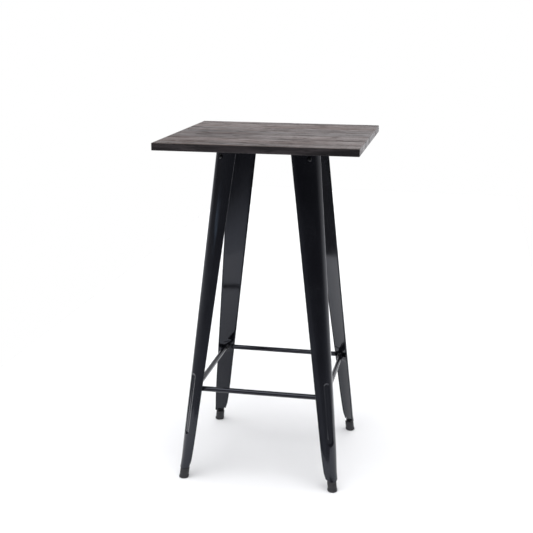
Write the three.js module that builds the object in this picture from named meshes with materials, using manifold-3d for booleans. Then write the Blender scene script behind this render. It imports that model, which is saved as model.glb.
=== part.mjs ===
// A square bar table: a dark oiled board top on a square steel under-frame, four splayed
// hollow legs of pressed sheet steel, a square of round-tube stretchers and rubber feet.
// Millimetres, +Z up. The origin is on the floor under the middle of the top, and the
// front of the table faces -Y.
import * as THREE from 'three';
import { mergeVertices } from 'three/addons/utils/BufferGeometryUtils.js';
import Module from 'manifold-3d';

const wasm = await Module();
wasm.setup();

// ---- driving dimensions ----------------------------------------------------------------
const HEIGHT = 1070;
const TOP_SIDE = 600;
const TOP_THICKNESS = 22;
const BOARD_PITCH = 100;              // the glued joints lie at odd multiples of half of it
const EDGE_EASING = 1.2;
const GAP = 0.3;                      // clearance between touching pieces

// Leg, in its own frame: x outward along the diagonal, y across the leg, z up.
const LEAN = 0.1565;                  // how far the leg moves in for each mm that it rises
const CHORD_AT_FLOOR = 331;           // the flat inner face's line, carried down to the floor
const LEG_DEPTH = 18;
const WIDTH_AT_FLOOR = 52;
const WIDTH_GROWTH = 0.0537;
const LEG_END = 33;
const LEG_END_RISE = 7;               // the end is cut higher towards the inner corners
const PANEL_END = 41;
const SHEET = 1.2;
const LIP = 8;                        // weld flange turned in behind the inner panel
const FLARE_START = 75;
const FLARE = 2;
const TAPER_START = 150;
const END_TAPER = 10;
const LEG_STATIONS = [56, 92, 110, 560, 800];   // extra sections: three in the bend, two above
const PANEL_CHAMFER = 3;
const PANEL_EASING = 0.4;

// Pressed groove along the outer corner of each leg.
const GROOVE = { bottom: 144, top: 342, depth: 2.4, floor: 6, edge: 12, run: 5 };

// Under-frame: four angle rails, mitred against the legs, and a bracket in each corner.
const RAIL = { outer: 150, width: 22, height: 20, wall: 2, screwX: 38 };
const BRACKET = 3;
const BRACKET_PLAN = [[120, 45], [140, 66], [167, 40], [184, 22]];
const TONGUE = { halfWidth: 20, drop: 52, sag: 2.3, chamfer: 6 };
const LEG_BOLT_Z = 1013;

// Footrest stretchers.
const STRETCHER = { z: 291, radius: 8, tabThickness: 2.4, tabHalfHeight: 10, tabReach: 14, bend: 10 };
const TRANSITION = 26;                // length over which the tube is pressed flat

// Fasteners.
const BOLT = { shank: 4, head: 7, headHeight: 4.4, rim: 0.8, socket: 2.9, socketDepth: 2.6, clearance: 0.4 };
const LEG_BOLT_LENGTH = 13;
const BOLT_GRIP_SPARE = 8;            // how far a stretcher bolt goes on past the two tabs
const NUT = { acrossFlats: 13, thickness: 5 };
const SCREW = { shank: 2, head: 4.5, headHeight: 2.5, rim: 0.9, length: 15.5, tip: 4, clearance: 0.4 };
const DRILL = 20;                     // how far a hole's cutter reaches each way, in mm

// Foot: a sleeve on a flared sole, with a plug that goes up into the leg.
const FOOT = { centre: 336.8, lean: 0.157, neckTop: LEG_END - GAP };
const PLUG = { centre: 341, radius: 6.5, top: 58, root: 6, chamfer: 1.5 };
const FOOT_SIDE = [                   // radius and height, from the sole up to the neck
  [11.9, 0], [14.3, 0.9], [15.5, 2.6], [15.7, 4.8], [15.2, 7], [14.5, 9], [14.1, 12],
  [14.2, FOOT.neckTop - 1.5], [13.4, FOOT.neckTop],
];

const UNDERSIDE = HEIGHT - TOP_THICKNESS;
const RAIL_TOP = UNDERSIDE - GAP;
const BRACKET_TOP = RAIL_TOP - RAIL.wall - GAP;
const LEG_TOP = BRACKET_TOP - BRACKET - GAP;

// ---- materials -------------------------------------------------------------------------
const colours = {
  wood: { color: 0x3a3029, roughness: 0.6, metalness: 0 },
  steel: { color: 0x0b0b0d, roughness: 0.18, metalness: 0.1 },
  rubber: { color: 0x141414, roughness: 0.7, metalness: 0 },
  fastener: { color: 0x1c1c1e, roughness: 0.35, metalness: 0.8 },
  zinc: { color: 0x9a9c9f, roughness: 0.4, metalness: 1 },
};

const table = new THREE.Group();
table.name = 'bar_table';

function addMesh(parent, name, geometry, look) {
  const mesh = new THREE.Mesh(geometry, new THREE.MeshStandardMaterial(colours[look]));
  mesh.name = name;
  parent.add(mesh);
  return mesh;
}

// ---- solids ----------------------------------------------------------------------------
function toSolid(geometry) {
  const bare = geometry.clone();
  bare.deleteAttribute('normal');
  bare.deleteAttribute('uv');
  const merged = mergeVertices(bare, 1e-4);
  return new wasm.Manifold(new wasm.Mesh({
    numProp: 3,
    vertProperties: new Float32Array(merged.attributes.position.array),
    triVerts: new Uint32Array(merged.index.array),
  }));
}

function toGeometry(solid) {
  const mesh = solid.getMesh();
  const geometry = new THREE.BufferGeometry();
  geometry.setAttribute('position', new THREE.BufferAttribute(mesh.vertProperties, 3));
  geometry.setIndex(new THREE.BufferAttribute(mesh.triVerts, 1));
  geometry.computeVertexNormals();
  return geometry;
}

function cut(geometry, ...cutters) {
  const rest = cutters.reduce((solid, cutter) => solid.subtract(toSolid(cutter)), toSolid(geometry));
  return toGeometry(rest);
}

function join(...geometries) {
  return toGeometry(geometries.map(toSolid).reduce((a, b) => a.add(b)));
}

// Skins a row of sections that share one point count. Each section has a flat outline,
// anticlockwise, and a function that places an outline point in space.
function loft(sections) {
  const count = sections[0].outline.length;
  const positions = [];
  for (const { outline, place } of sections) {
    for (const point of outline) positions.push(...place(point).toArray());
  }
  const index = [];
  for (let s = 0; s + 1 < sections.length; s += 1) {
    for (let i = 0; i < count; i += 1) {
      const j = (i + 1) % count;
      const [a, b, c, d] = [s * count + i, s * count + j, (s + 1) * count + j, (s + 1) * count + i];
      index.push(a, b, c, a, c, d);
    }
  }
  const last = (sections.length - 1) * count;
  for (const [section, base, up] of [[sections[0], 0, false], [sections.at(-1), last, true]]) {
    for (const face of THREE.ShapeUtils.triangulateShape(section.outline, [])) {
      const isUp = THREE.ShapeUtils.area(face.map((k) => section.outline[k])) > 0;
      const [a, b, c] = isUp === up ? face : [face[2], face[1], face[0]];
      index.push(base + a, base + b, base + c);
    }
  }
  const geometry = new THREE.BufferGeometry();
  geometry.setAttribute('position', new THREE.Float32BufferAttribute(positions, 3));
  geometry.setIndex(index);
  geometry.computeVertexNormals();
  return geometry;
}

// A solid of revolution about +Z from (radius, z) pairs that start and end on the axis.
function turned(profile, segments) {
  const points = profile.map(([r, z]) => new THREE.Vector2(r, z));
  return new THREE.LatheGeometry(points, segments).rotateX(Math.PI / 2);
}

function cylinder(radius, from, to, segments = 12) {
  return turned([[0, from], [radius, from], [radius, to], [0, to]], segments);
}

// Moves a solid made along +Z so that it lies on an axis that leans with the leg: +Z
// becomes the leg's outward normal, through the point (x, 0, z).
function acrossLeg(geometry, x, z) {
  return geometry.rotateY(Math.PI / 2 - Math.atan(LEAN)).translate(x, 0, z);
}

// ---- leg -------------------------------------------------------------------------------
function chordAt(z) {
  const flare = z < FLARE_START ? FLARE * ((FLARE_START - z) / (FLARE_START - LEG_END)) ** 2 : 0;
  return CHORD_AT_FLOOR - LEAN * z + flare;
}

function halfWidthAt(z) {
  const taper = z < TAPER_START ? END_TAPER * ((TAPER_START - z) / (TAPER_START - LEG_END)) ** 2 : 0;
  return (WIDTH_AT_FLOOR + WIDTH_GROWTH * z - taper) / 2;
}

// A hole for a bolt, drilled square to the leg through the point (x, 0, z).
function boltHole(x, z) {
  return acrossLeg(cylinder(BOLT.shank + BOLT.clearance, -DRILL, DRILL), x, z);
}

function grooveDepth(distance, z) {
  const along = Math.min(z - GROOVE.bottom, GROOVE.top - z) / GROOVE.run;
  const across = (GROOVE.edge - Math.abs(distance)) / (GROOVE.edge - GROOVE.floor);
  return GROOVE.depth * THREE.MathUtils.clamp(Math.min(along, across), 0, 1);
}

// The shell's cut outline at one height: an arc of sheet with a weld lip at each end.
function shellOutline(z) {
  const seat = chordAt(z) + SHEET + GAP;
  const halfWidth = halfWidthAt(z);
  const depth = LEG_DEPTH - SHEET - GAP;
  const radius = (halfWidth ** 2 + depth ** 2) / (2 * depth);
  const centre = seat + depth - radius;
  const arc = (skinRadius, endX) => {
    const end = Math.acos((endX - centre) / skinRadius);
    const edge = GROOVE.edge / radius;
    const half = [GROOVE.floor / radius, edge, ...[1, 2, 3].map((k) => edge + ((end - edge) * k) / 3)];
    return [...half.map((a) => -a).reverse(), 0, ...half].map((angle) => {
      const r = skinRadius - grooveDepth(angle * radius, z);
      return new THREE.Vector2(centre + r * Math.cos(angle), r * Math.sin(angle));
    });
  };
  const lip = (side) => [
    new THREE.Vector2(seat, side * (halfWidth - LIP)),
    new THREE.Vector2(seat + SHEET, side * (halfWidth - LIP)),
  ];
  const inner = arc(radius - SHEET, seat + SHEET).reverse();
  return [...arc(radius, seat), ...lip(1), ...inner, ...lip(-1).reverse()];
}

function legShell() {
  const { bottom, top, run } = GROOVE;
  const heights = [LEG_END, ...LEG_STATIONS, FLARE_START, bottom, bottom + run, top - run, top, LEG_TOP];
  const sections = heights.sort((a, b) => a - b).map((z) => ({
    outline: shellOutline(z),
    place: ({ x, y }) => {
      const rise = z === LEG_END ? LEG_END_RISE * (Math.abs(y) / halfWidthAt(z)) ** 3 : 0;
      return new THREE.Vector3(x, y, z + rise);
    },
  }));
  return cut(loft(sections), boltHole(chordAt(LEG_BOLT_Z) + LEG_DEPTH, LEG_BOLT_Z));
}

function legPanel() {
  const heights = [PANEL_END, PANEL_END + PANEL_CHAMFER, ...LEG_STATIONS, FLARE_START, TAPER_START, LEG_TOP];
  const ease = PANEL_EASING;
  const sections = heights.sort((a, b) => a - b).map((z) => {
    const x = chordAt(z);
    const back = x + SHEET;
    const w = halfWidthAt(z) - (z === PANEL_END ? PANEL_CHAMFER : 0);
    const corners = [[x + ease, -w], [back, -w], [back, w], [x + ease, w], [x, w - ease], [x, ease - w]];
    return {
      outline: corners.map(([a, b]) => new THREE.Vector2(a, b)),
      place: (p) => new THREE.Vector3(p.x, p.y, z),
    };
  });
  return cut(loft(sections), boltHole(chordAt(STRETCHER.z), STRETCHER.z));
}

// ---- foot ------------------------------------------------------------------------------
function foot() {
  const { centre, lean, neckTop } = FOOT;
  const { radius, top, root, chamfer } = PLUG;
  const sleeve = turned([[0, 0], ...FOOT_SIDE, [0, neckTop]], 20);
  const plug = turned([
    [0, neckTop - root], [radius, neckTop - root], [radius, top - chamfer], [radius - chamfer, top], [0, top],
  ], 12);
  const shear = new THREE.Matrix4().makeShear(0, 0, 0, 0, -lean, 0);
  sleeve.applyMatrix4(shear).translate(centre, 0, 0);
  plug.applyMatrix4(shear).translate(PLUG.centre, 0, 0);
  return join(sleeve, plug);
}

// ---- under-frame -----------------------------------------------------------------------
function rectangle(fromX, toX, halfY) {
  const corners = [[fromX, -halfY], [toX, -halfY], [toX, halfY], [fromX, halfY]];
  return corners.map(([x, y]) => new THREE.Vector2(x, y));
}

// A plate under the rail ends, with a tongue that hangs inside the leg.
function cornerBracket() {
  const mirrored = BRACKET_PLAN.map(([x, y]) => [x, -y]);
  const plan = [...mirrored, ...BRACKET_PLAN.toReversed()].map(([x, y]) => new THREE.Vector2(x, y));
  const plate = new THREE.ExtrudeGeometry(new THREE.Shape(plan), { depth: BRACKET, bevelEnabled: false });
  plate.translate(0, 0, BRACKET_TOP - BRACKET);
  const faceAt = (z) => chordAt(z) + LEG_DEPTH - SHEET - TONGUE.sag - GAP;
  const top = BRACKET_TOP - BRACKET / 2;
  const { halfWidth: w, drop, chamfer } = TONGUE;
  const sections = [[top - drop, w - chamfer], [top - drop + chamfer, w], [top, w]].map(([z, half]) => ({
    outline: rectangle(-BRACKET, 0, half),
    place: (p) => new THREE.Vector3(faceAt(z) + p.x, p.y, z),
  }));
  return cut(join(plate, loft(sections)), boltHole(chordAt(LEG_BOLT_Z) + LEG_DEPTH, LEG_BOLT_Z));
}

// The front rail, an equal-wall angle whose mitred ends follow the legs' inner faces.
function rail() {
  const { outer, width, height, wall, screwX } = RAIL;
  const mitre = (chordAt(RAIL_TOP) - GAP) * Math.SQRT2;
  const bottom = RAIL_TOP - height;
  const outline = [
    [-outer, bottom], [wall - outer, bottom], [wall - outer, RAIL_TOP - wall],
    [width - outer, RAIL_TOP - wall], [width - outer, RAIL_TOP], [-outer, RAIL_TOP],
  ].map(([y, z]) => new THREE.Vector2(y, z));
  const end = (side) => ({
    outline,
    place: (p) => new THREE.Vector3(side * (mitre + p.x), p.x, p.y),
  });
  const holes = [-screwX, screwX].map((x) => (
    cylinder(SCREW.shank + SCREW.clearance, -DRILL, DRILL, 8).translate(x, railScrewY(), RAIL_TOP)
  ));
  return cut(loft([end(-1), end(1)]), ...holes);
}

function railScrewY() {
  return RAIL.width / 2 + RAIL.wall / 2 - RAIL.outer;
}

// ---- stretcher -------------------------------------------------------------------------
// The front stretcher, from the front left leg to the front right one. Its left tab lies on
// the leg panel and its right tab lies on its neighbour's, so that all four are alike. The
// tube is pressed flat towards its outer side, so the round part stands in from the tabs.
function stretcher() {
  const { z, radius, tabThickness, tabHalfHeight, tabReach, bend } = STRETCHER;
  const diagonal = Math.SQRT1_2;
  const bolt = chordAt(z) * diagonal;
  const layers = [GAP + tabThickness / 2, 2 * GAP + 1.5 * tabThickness];
  const y = -bolt + (layers[0] - tabReach) * diagonal;
  const bendStep = bend * Math.tan(Math.PI / 8);

  // Half of the centre line: distance past the bolt, plan position and heading, from the
  // tab's end to the straight tube. The heading turns from 45 degrees to 0.
  const halfPath = (layer) => {
    const reach = tabReach + layer - layers[0];
    const corner = bolt - (layer + reach) * diagonal;
    const at = (s, x, yy, heading) => ({ s, x, y: yy, heading });
    const alongTab = (s) => at(s, corner + (reach - s) * diagonal, y + (reach - s) * diagonal, Math.PI / 4);
    const path = [-tabHalfHeight, -8.6, -6.2, -3, 3, reach - bendStep].map(alongTab);
    const centreX = corner - bendStep;
    for (const turn of [1 / 2, 1]) {
      const heading = (1 - turn) * Math.PI / 4;
      const s = reach - bendStep + (turn * bend * Math.PI) / 4;
      path.push(at(s, centreX + bend * Math.sin(heading), y + bend * (1 - Math.cos(heading)), heading));
    }
    const start = path.at(-1);
    for (const step of [5, 10, 15, 20]) path.push(at(start.s + step, start.x - step, y, 0));
    return path.map((station) => ({ ...station, reach }));
  };

  const section = ({ s, x, y: yy, heading, reach }, side) => {
    const round = THREE.MathUtils.smoothstep(s, reach - bendStep, reach - bendStep + TRANSITION);
    const halfThickness = THREE.MathUtils.lerp(tabThickness / 2, radius, round);
    const shift = halfThickness - tabThickness / 2;
    const flatHeight = s < 0 ? Math.sqrt(Math.max(tabHalfHeight ** 2 - s ** 2, 4)) : tabHalfHeight;
    const halfHeight = THREE.MathUtils.lerp(flatHeight, radius, round);
    const power = THREE.MathUtils.lerp(0.45, 1, round);
    const outline = Array.from({ length: 12 }, (_, k) => {
      const angle = ((k + 0.5) * Math.PI) / 6;
      const squash = (v) => Math.sign(v) * Math.abs(v) ** power;
      return new THREE.Vector2(halfThickness * squash(Math.cos(angle)), halfHeight * squash(Math.sin(angle)));
    });
    const lean = LEAN * (1 - round);
    const inward = new THREE.Vector3(-side * Math.sin(heading), Math.cos(heading), 0);
    const across = inward.clone().add(new THREE.Vector3(0, 0, -lean)).normalize();
    const upward = inward.clone().multiplyScalar(lean).add(new THREE.Vector3(0, 0, 1)).normalize();
    const origin = new THREE.Vector3(side * x, yy, z).addScaledVector(inward, shift);
    return {
      outline,
      place: (p) => origin.clone().addScaledVector(across, p.x).addScaledVector(upward, p.y),
    };
  };

  const left = halfPath(layers[0]).map((station) => section(station, -1));
  const right = halfPath(layers[1]).map((station) => section(station, 1)).reverse();
  const holes = [225, 315].map((angle) => boltHole(chordAt(z), z).rotateZ(THREE.MathUtils.degToRad(angle)));
  return cut(loft([...left, ...right]), ...holes);
}

// ---- fasteners -------------------------------------------------------------------------
function hexagon(acrossFlats) {
  const corners = Array.from({ length: 6 }, (_, k) => {
    const angle = (k * Math.PI) / 3;
    const r = acrossFlats / Math.sqrt(3);
    return new THREE.Vector2(r * Math.cos(angle), r * Math.sin(angle));
  });
  return new THREE.Shape(corners);
}

// A button-head bolt with a hexagon socket: the head sits on z = 0 and the shank points down.
function bolt(length) {
  const { shank, head, headHeight, rim, socket, socketDepth } = BOLT;
  const body = turned([
    [0, -length], [shank - rim, -length], [shank, rim - length], [shank, 0], [head, 0], [head, rim],
    [head * 0.86, headHeight * 0.62], [head * 0.6, headHeight], [0, headHeight],
  ], 12);
  const key = new THREE.ExtrudeGeometry(hexagon(2 * socket), { depth: socketDepth + 1, bevelEnabled: false });
  return cut(body, key.translate(0, 0, headHeight - socketDepth));
}

function nut() {
  const shape = hexagon(NUT.acrossFlats);
  shape.holes.push(new THREE.Path().absarc(0, 0, BOLT.shank + GAP, 0, 2 * Math.PI, true));
  return new THREE.ExtrudeGeometry(shape, { depth: NUT.thickness, bevelEnabled: false, curveSegments: 8 });
}

function woodScrew() {
  const { shank, head, headHeight, rim, length, tip } = SCREW;
  return turned([
    [0, -headHeight], [head * 0.6, -headHeight], [head, rim - headHeight], [head, 0],
    [shank, 0], [shank, length - tip], [0, length],
  ], 8);
}

// ---- assembly --------------------------------------------------------------------------
const corners = [['front_left', 225], ['front_right', 315], ['back_right', 45], ['back_left', 135]];
for (const [where, angle] of corners) {
  const corner = new THREE.Group();
  corner.rotation.z = THREE.MathUtils.degToRad(angle);
  table.add(corner);
  addMesh(corner, `${where}_leg_shell`, legShell(), 'steel');
  addMesh(corner, `${where}_leg_inner_panel`, legPanel(), 'steel');
  addMesh(corner, `${where}_foot`, foot(), 'rubber');
  addMesh(corner, `${where}_corner_bracket`, cornerBracket(), 'steel');

  // The leg bolt goes in from outside, through the shell and the bracket's tongue.
  const apex = chordAt(LEG_BOLT_Z) + LEG_DEPTH;
  const tongueBack = SHEET + TONGUE.sag + GAP + BRACKET;
  const legBolt = bolt(LEG_BOLT_LENGTH).translate(0, 0, GAP);
  addMesh(corner, `${where}_leg_bolt`, acrossLeg(legBolt, apex, LEG_BOLT_Z), 'fastener');
  const legNut = nut().translate(0, 0, -tongueBack - GAP - NUT.thickness);
  addMesh(corner, `${where}_leg_nut`, acrossLeg(legNut, apex, LEG_BOLT_Z), 'zinc');

  // The stretcher bolt goes out through two tabs and the leg's inner panel.
  const chord = chordAt(STRETCHER.z);
  const stack = 2 * (GAP + STRETCHER.tabThickness) + GAP;
  const inwardBolt = bolt(stack + BOLT_GRIP_SPARE).rotateX(Math.PI).translate(0, 0, -stack);
  addMesh(corner, `${where}_stretcher_bolt`, acrossLeg(inwardBolt, chord, STRETCHER.z), 'fastener');
  const stretcherNut = nut().translate(0, 0, SHEET + GAP);
  addMesh(corner, `${where}_stretcher_nut`, acrossLeg(stretcherNut, chord, STRETCHER.z), 'zinc');
}

const sides = [['front', 0], ['right', 90], ['back', 180], ['left', 270]];
for (const [where, angle] of sides) {
  const side = new THREE.Group();
  side.rotation.z = THREE.MathUtils.degToRad(angle);
  table.add(side);
  addMesh(side, `${where}_rail`, rail(), 'steel');
  addMesh(side, `${where}_stretcher`, stretcher(), 'steel');
  for (const [end, x] of [['a', -RAIL.screwX], ['b', RAIL.screwX]]) {
    const screw = addMesh(side, `${where}_rail_screw_${end}`, woodScrew(), 'zinc');
    screw.position.set(x, railScrewY(), RAIL_TOP - RAIL.wall - GAP);
  }
}

// The top: boards along X, edge to edge, with the joints at odd half pitches.
function pilotHoles() {
  return sides.flatMap(([, angle]) => [-RAIL.screwX, RAIL.screwX].map((x) => {
    const hole = cylinder(SCREW.shank + SCREW.clearance, -1, SCREW.length - RAIL.wall, 8);
    return hole.translate(x, railScrewY(), UNDERSIDE).rotateZ(THREE.MathUtils.degToRad(angle));
  }));
}

function board(from, to) {
  const half = TOP_SIDE / 2;
  const low = from === -half ? from : from + GAP / 2;
  const high = to === half ? to : to - GAP / 2;
  const outline = new THREE.Shape([
    new THREE.Vector2(low, UNDERSIDE), new THREE.Vector2(high, UNDERSIDE),
    new THREE.Vector2(high, HEIGHT), new THREE.Vector2(low, HEIGHT),
  ]);
  const plank = new THREE.ExtrudeGeometry(outline, {
    depth: TOP_SIDE - 2 * EDGE_EASING,
    bevelSize: EDGE_EASING,
    bevelOffset: -EDGE_EASING,
    bevelThickness: EDGE_EASING,
    bevelSegments: 1,
  });
  plank.translate(0, 0, EDGE_EASING - half);
  plank.applyMatrix4(new THREE.Matrix4().makeBasis(
    new THREE.Vector3(0, 1, 0), new THREE.Vector3(0, 0, 1), new THREE.Vector3(1, 0, 0),
  ));
  return cut(plank, ...pilotHoles());
}

const edges = [-TOP_SIDE / 2];
for (let y = BOARD_PITCH / 2 - TOP_SIDE / 2; y < TOP_SIDE / 2; y += BOARD_PITCH) edges.push(y);
edges.push(TOP_SIDE / 2);
for (let i = 0; i + 1 < edges.length; i += 1) {
  addMesh(table, `top_board_${i + 1}`, board(edges[i], edges[i + 1]), 'wood');
}

export default table;
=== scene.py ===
"""A square bar table: a dark wood top on four splayed legs of black sheet steel, with tube
footrests and rubber feet. Metres, +Z up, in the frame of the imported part."""
import math

import bmesh
import bpy
import numpy as np
from mathutils import Matrix, Vector


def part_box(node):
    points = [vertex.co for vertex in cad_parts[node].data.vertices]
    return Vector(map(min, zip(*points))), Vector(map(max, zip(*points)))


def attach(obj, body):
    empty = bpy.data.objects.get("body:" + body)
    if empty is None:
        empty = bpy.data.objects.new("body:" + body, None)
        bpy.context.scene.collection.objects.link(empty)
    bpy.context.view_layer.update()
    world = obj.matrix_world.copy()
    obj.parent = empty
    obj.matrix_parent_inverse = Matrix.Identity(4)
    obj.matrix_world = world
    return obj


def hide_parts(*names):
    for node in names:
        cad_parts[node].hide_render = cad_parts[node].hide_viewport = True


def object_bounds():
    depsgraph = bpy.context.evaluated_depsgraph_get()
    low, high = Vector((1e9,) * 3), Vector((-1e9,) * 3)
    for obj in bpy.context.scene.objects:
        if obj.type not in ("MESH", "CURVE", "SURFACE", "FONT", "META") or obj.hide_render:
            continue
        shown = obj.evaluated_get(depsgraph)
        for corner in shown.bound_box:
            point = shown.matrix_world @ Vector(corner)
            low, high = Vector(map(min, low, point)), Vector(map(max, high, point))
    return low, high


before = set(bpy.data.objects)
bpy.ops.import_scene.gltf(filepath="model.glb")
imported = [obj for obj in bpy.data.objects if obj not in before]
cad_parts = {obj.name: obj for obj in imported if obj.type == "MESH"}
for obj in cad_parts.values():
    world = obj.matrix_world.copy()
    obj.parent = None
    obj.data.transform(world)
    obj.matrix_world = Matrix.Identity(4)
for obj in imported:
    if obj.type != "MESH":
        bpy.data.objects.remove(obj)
CAD_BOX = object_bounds()
MM = 0.001

# ---- sizes, from the frame -----------------------------------------------------------------
TOP_Z = CAD_BOX[1].z
HALF_TOP = CAD_BOX[1].x
BOARDS = sorted(
    (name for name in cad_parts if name.startswith("top_board_")),
    key=lambda name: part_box(name)[0].y,
)
# Turns about Z, in degrees: of a leg made along +X, and of a side made at the front.
CORNERS = {"front_left": 225, "front_right": 315, "back_right": 45, "back_left": 135}
SIDES = {"front": 0, "right": 90, "back": 180, "left": 270}
LEG_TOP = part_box("front_left_leg_shell")[1].z
STRETCHER_Z = (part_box("front_stretcher")[0].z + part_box("front_stretcher")[1].z) / 2
RAIL_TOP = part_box("front_rail")[1].z

# ---- the leg, in its own frame: x outward along the diagonal, y across, z up ---------------
LEAN = 0.1565                         # how far the leg moves in for each metre that it rises
CHORD_AT_FLOOR = 331 * MM             # the inner face's line, carried down to the floor
LEG_DEPTH = 18 * MM
WIDTH_AT_FLOOR = 52 * MM
WIDTH_GROWTH = 0.0537
LEG_END = 33 * MM
LEG_END_RISE = 9 * MM                 # the end is cut higher towards the inner corners
LEG_END_BLEND = 30 * MM               # the height over which that rise dies out
PANEL_END = 41 * MM
PANEL_CORNER = 3 * MM
PANEL_FRONT_EASING = 0.7 * MM
PANEL_BACK_EASING = 0.2 * MM
SHEET = 1.2 * MM
HEM = 1.8 * MM                        # radius of the rolled hem along each edge of the arc
HEM_DEPTH = 1.2 * MM                  # the hem's straight wall, down beside the inner panel
SEAM = 0.25 * MM
FLARE_START = 75 * MM                 # below this the leg bends outward
FLARE = 2 * MM
TAPER_START = 150 * MM                # below this the leg narrows towards its end
END_TAPER = 10 * MM
GROOVE = {
    "bottom": 144 * MM,
    "top": 342 * MM,
    "radius": 12.3 * MM,
    "wall": 6.5 * MM,
    "depth": 2.6 * MM,
}
RECESS = 1.4 * MM                     # the inner panel lies this far below the hems
DISH = 1.1 * MM                       # and is hollow by this much across its width
PAD = {"half": 12 * MM, "blend": 14 * MM, "recess": 0.15 * MM}
LEG_BOLT_Z = 1013 * MM
LEG_BOLT_LENGTH = 13 * MM
TONGUE_SAG = 2.3 * MM                 # the bracket's tongue lies this far behind the shell's arc
BRACKET_SHEET = 3 * MM

# ---- stretchers, fasteners, feet, rails ----------------------------------------------------
GAP = 0.3 * MM                        # clearance between pieces that lie against each other
TUBE_RADIUS = 8 * MM
TUBE_TRANSITION = 15 * MM             # the length over which the tube is pressed flat
TAB = {"half_thickness": 1.2 * MM, "half_height": 9 * MM, "reach": 14 * MM, "bend": 10 * MM}
BOLT = {
    "shank": 4 * MM,
    "head": 7 * MM,
    "height": 4.4 * MM,
    "socket": 2.9 * MM,
    "socket_depth": 2.6 * MM,
}
BOLT_SPARE = 8 * MM                   # how far a stretcher bolt goes on past the two tabs
SCREW_LENGTH = 12 * MM
SCREW_SCALE = 0.62                    # a rail screw's head against a bolt's
NUT = {"across_flats": 13 * MM, "thickness": 5 * MM}
FOOT = {"centre": 336.8 * MM, "lean": 0.157, "neck": 14.4 * MM, "neck_top": 32.7 * MM}
PLUG_TOP = 58 * MM
RAIL = {"outer": 150 * MM, "width": 22 * MM, "height": 20 * MM, "wall": 2 * MM, "screw_x": 38 * MM}
BRACKET_EASING = 0.35 * MM
BOARD_EASING = {"outer": 1.4 * MM, "joint": 0.45 * MM}


def smoothstep(x, a, b):
    t = min(max((x - a) / (b - a), 0.0), 1.0)
    return t * t * (3 - 2 * t)


def lerp(a, b, t):
    return a + (b - a) * t


def ramp_eased(t, bend=0.2):
    """0 to 1 in a straight line whose two ends are rounded over a share bend of its length."""
    t = min(max(t, 0.0), 1.0)
    if t > 0.5:
        return 1 - ramp_eased(1 - t, bend)
    return t * t / (2 * bend * (1 - bend)) if t < bend else (t - bend / 2) / (1 - bend)


# ---- mesh helpers --------------------------------------------------------------------------
def add_piece(name, solid, place, slot, node, crease):
    """A smooth-shaded piece that stands for one CAD node. Edges over crease degrees stay sharp."""
    verts, faces = solid
    mesh = bpy.data.meshes.new(name)
    mesh.from_pydata([tuple(place @ Vector(v)) for v in verts], [], faces)
    bm = bmesh.new()
    bm.from_mesh(mesh)
    bmesh.ops.remove_doubles(bm, verts=bm.verts, dist=1e-6)
    bmesh.ops.dissolve_degenerate(bm, dist=1e-7, edges=bm.edges)
    bmesh.ops.recalc_face_normals(bm, faces=bm.faces)
    for face in bm.faces:
        face.smooth = True
    for edge in bm.edges:
        edge.smooth = len(edge.link_faces) == 2 and edge.calc_face_angle() < math.radians(crease)
    bm.to_mesh(mesh)
    bm.free()
    piece = bpy.data.objects.new(name, mesh)
    bpy.context.scene.collection.objects.link(piece)
    mesh.materials.append(MATERIALS[slot])
    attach(piece, "root")
    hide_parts(node)


def skin(sections, caps=True):
    """Quads over a row of closed outlines with one point count, with flat caps if asked for."""
    sections = np.asarray(sections)
    count = sections.shape[1]
    faces = []
    for s in range(len(sections) - 1):
        for i in range(count):
            j = (i + 1) % count
            faces.append((s * count + i, s * count + j, (s + 1) * count + j, (s + 1) * count + i))
    if caps:
        faces.append(tuple(range(count - 1, -1, -1)))
        faces.append(tuple(range((len(sections) - 1) * count, len(sections) * count)))
    return sections.reshape(-1, 3).tolist(), faces


def turned(profile, segments):
    """Sections of a solid of revolution about +Z, one circle for each (radius, height) pair."""
    angles = [2 * math.pi * k / segments for k in range(segments)]
    return [[(r * math.cos(a), r * math.sin(a), z) for a in angles] for r, z in profile]


def turned_by(angle):
    return Matrix.Rotation(math.radians(angle), 4, "Z")


def across_leg(x, z):
    """Lays a solid made along +Z on an axis square to the leg, through the point (x, 0, z)."""
    tilt = Matrix.Rotation(math.pi / 2 - math.atan(LEAN), 4, "Y")
    return Matrix.Translation((x, 0, z)) @ tilt


def rounded_polyline(corners, radii, steps=4):
    """A closed 2D outline with each corner rounded to its own radius."""
    points = []
    count = len(corners)
    for k, (corner, radius) in enumerate(zip(corners, radii)):
        here = Vector(corner)
        if not radius:
            points.append(here)
            continue
        back = (Vector(corners[k - 1]) - here).normalized()
        ahead = (Vector(corners[(k + 1) % count]) - here).normalized()
        half = math.acos(max(-1.0, min(1.0, back.dot(ahead)))) / 2
        reach = radius / math.tan(half)
        start, end = here + back * reach, here + ahead * reach
        centre = here + (back + ahead).normalized() * (radius / math.sin(half))
        for step in range(steps + 1):
            mixed = (start - centre).lerp(end - centre, step / steps)
            points.append(centre + mixed.normalized() * radius)
    return points


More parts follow.
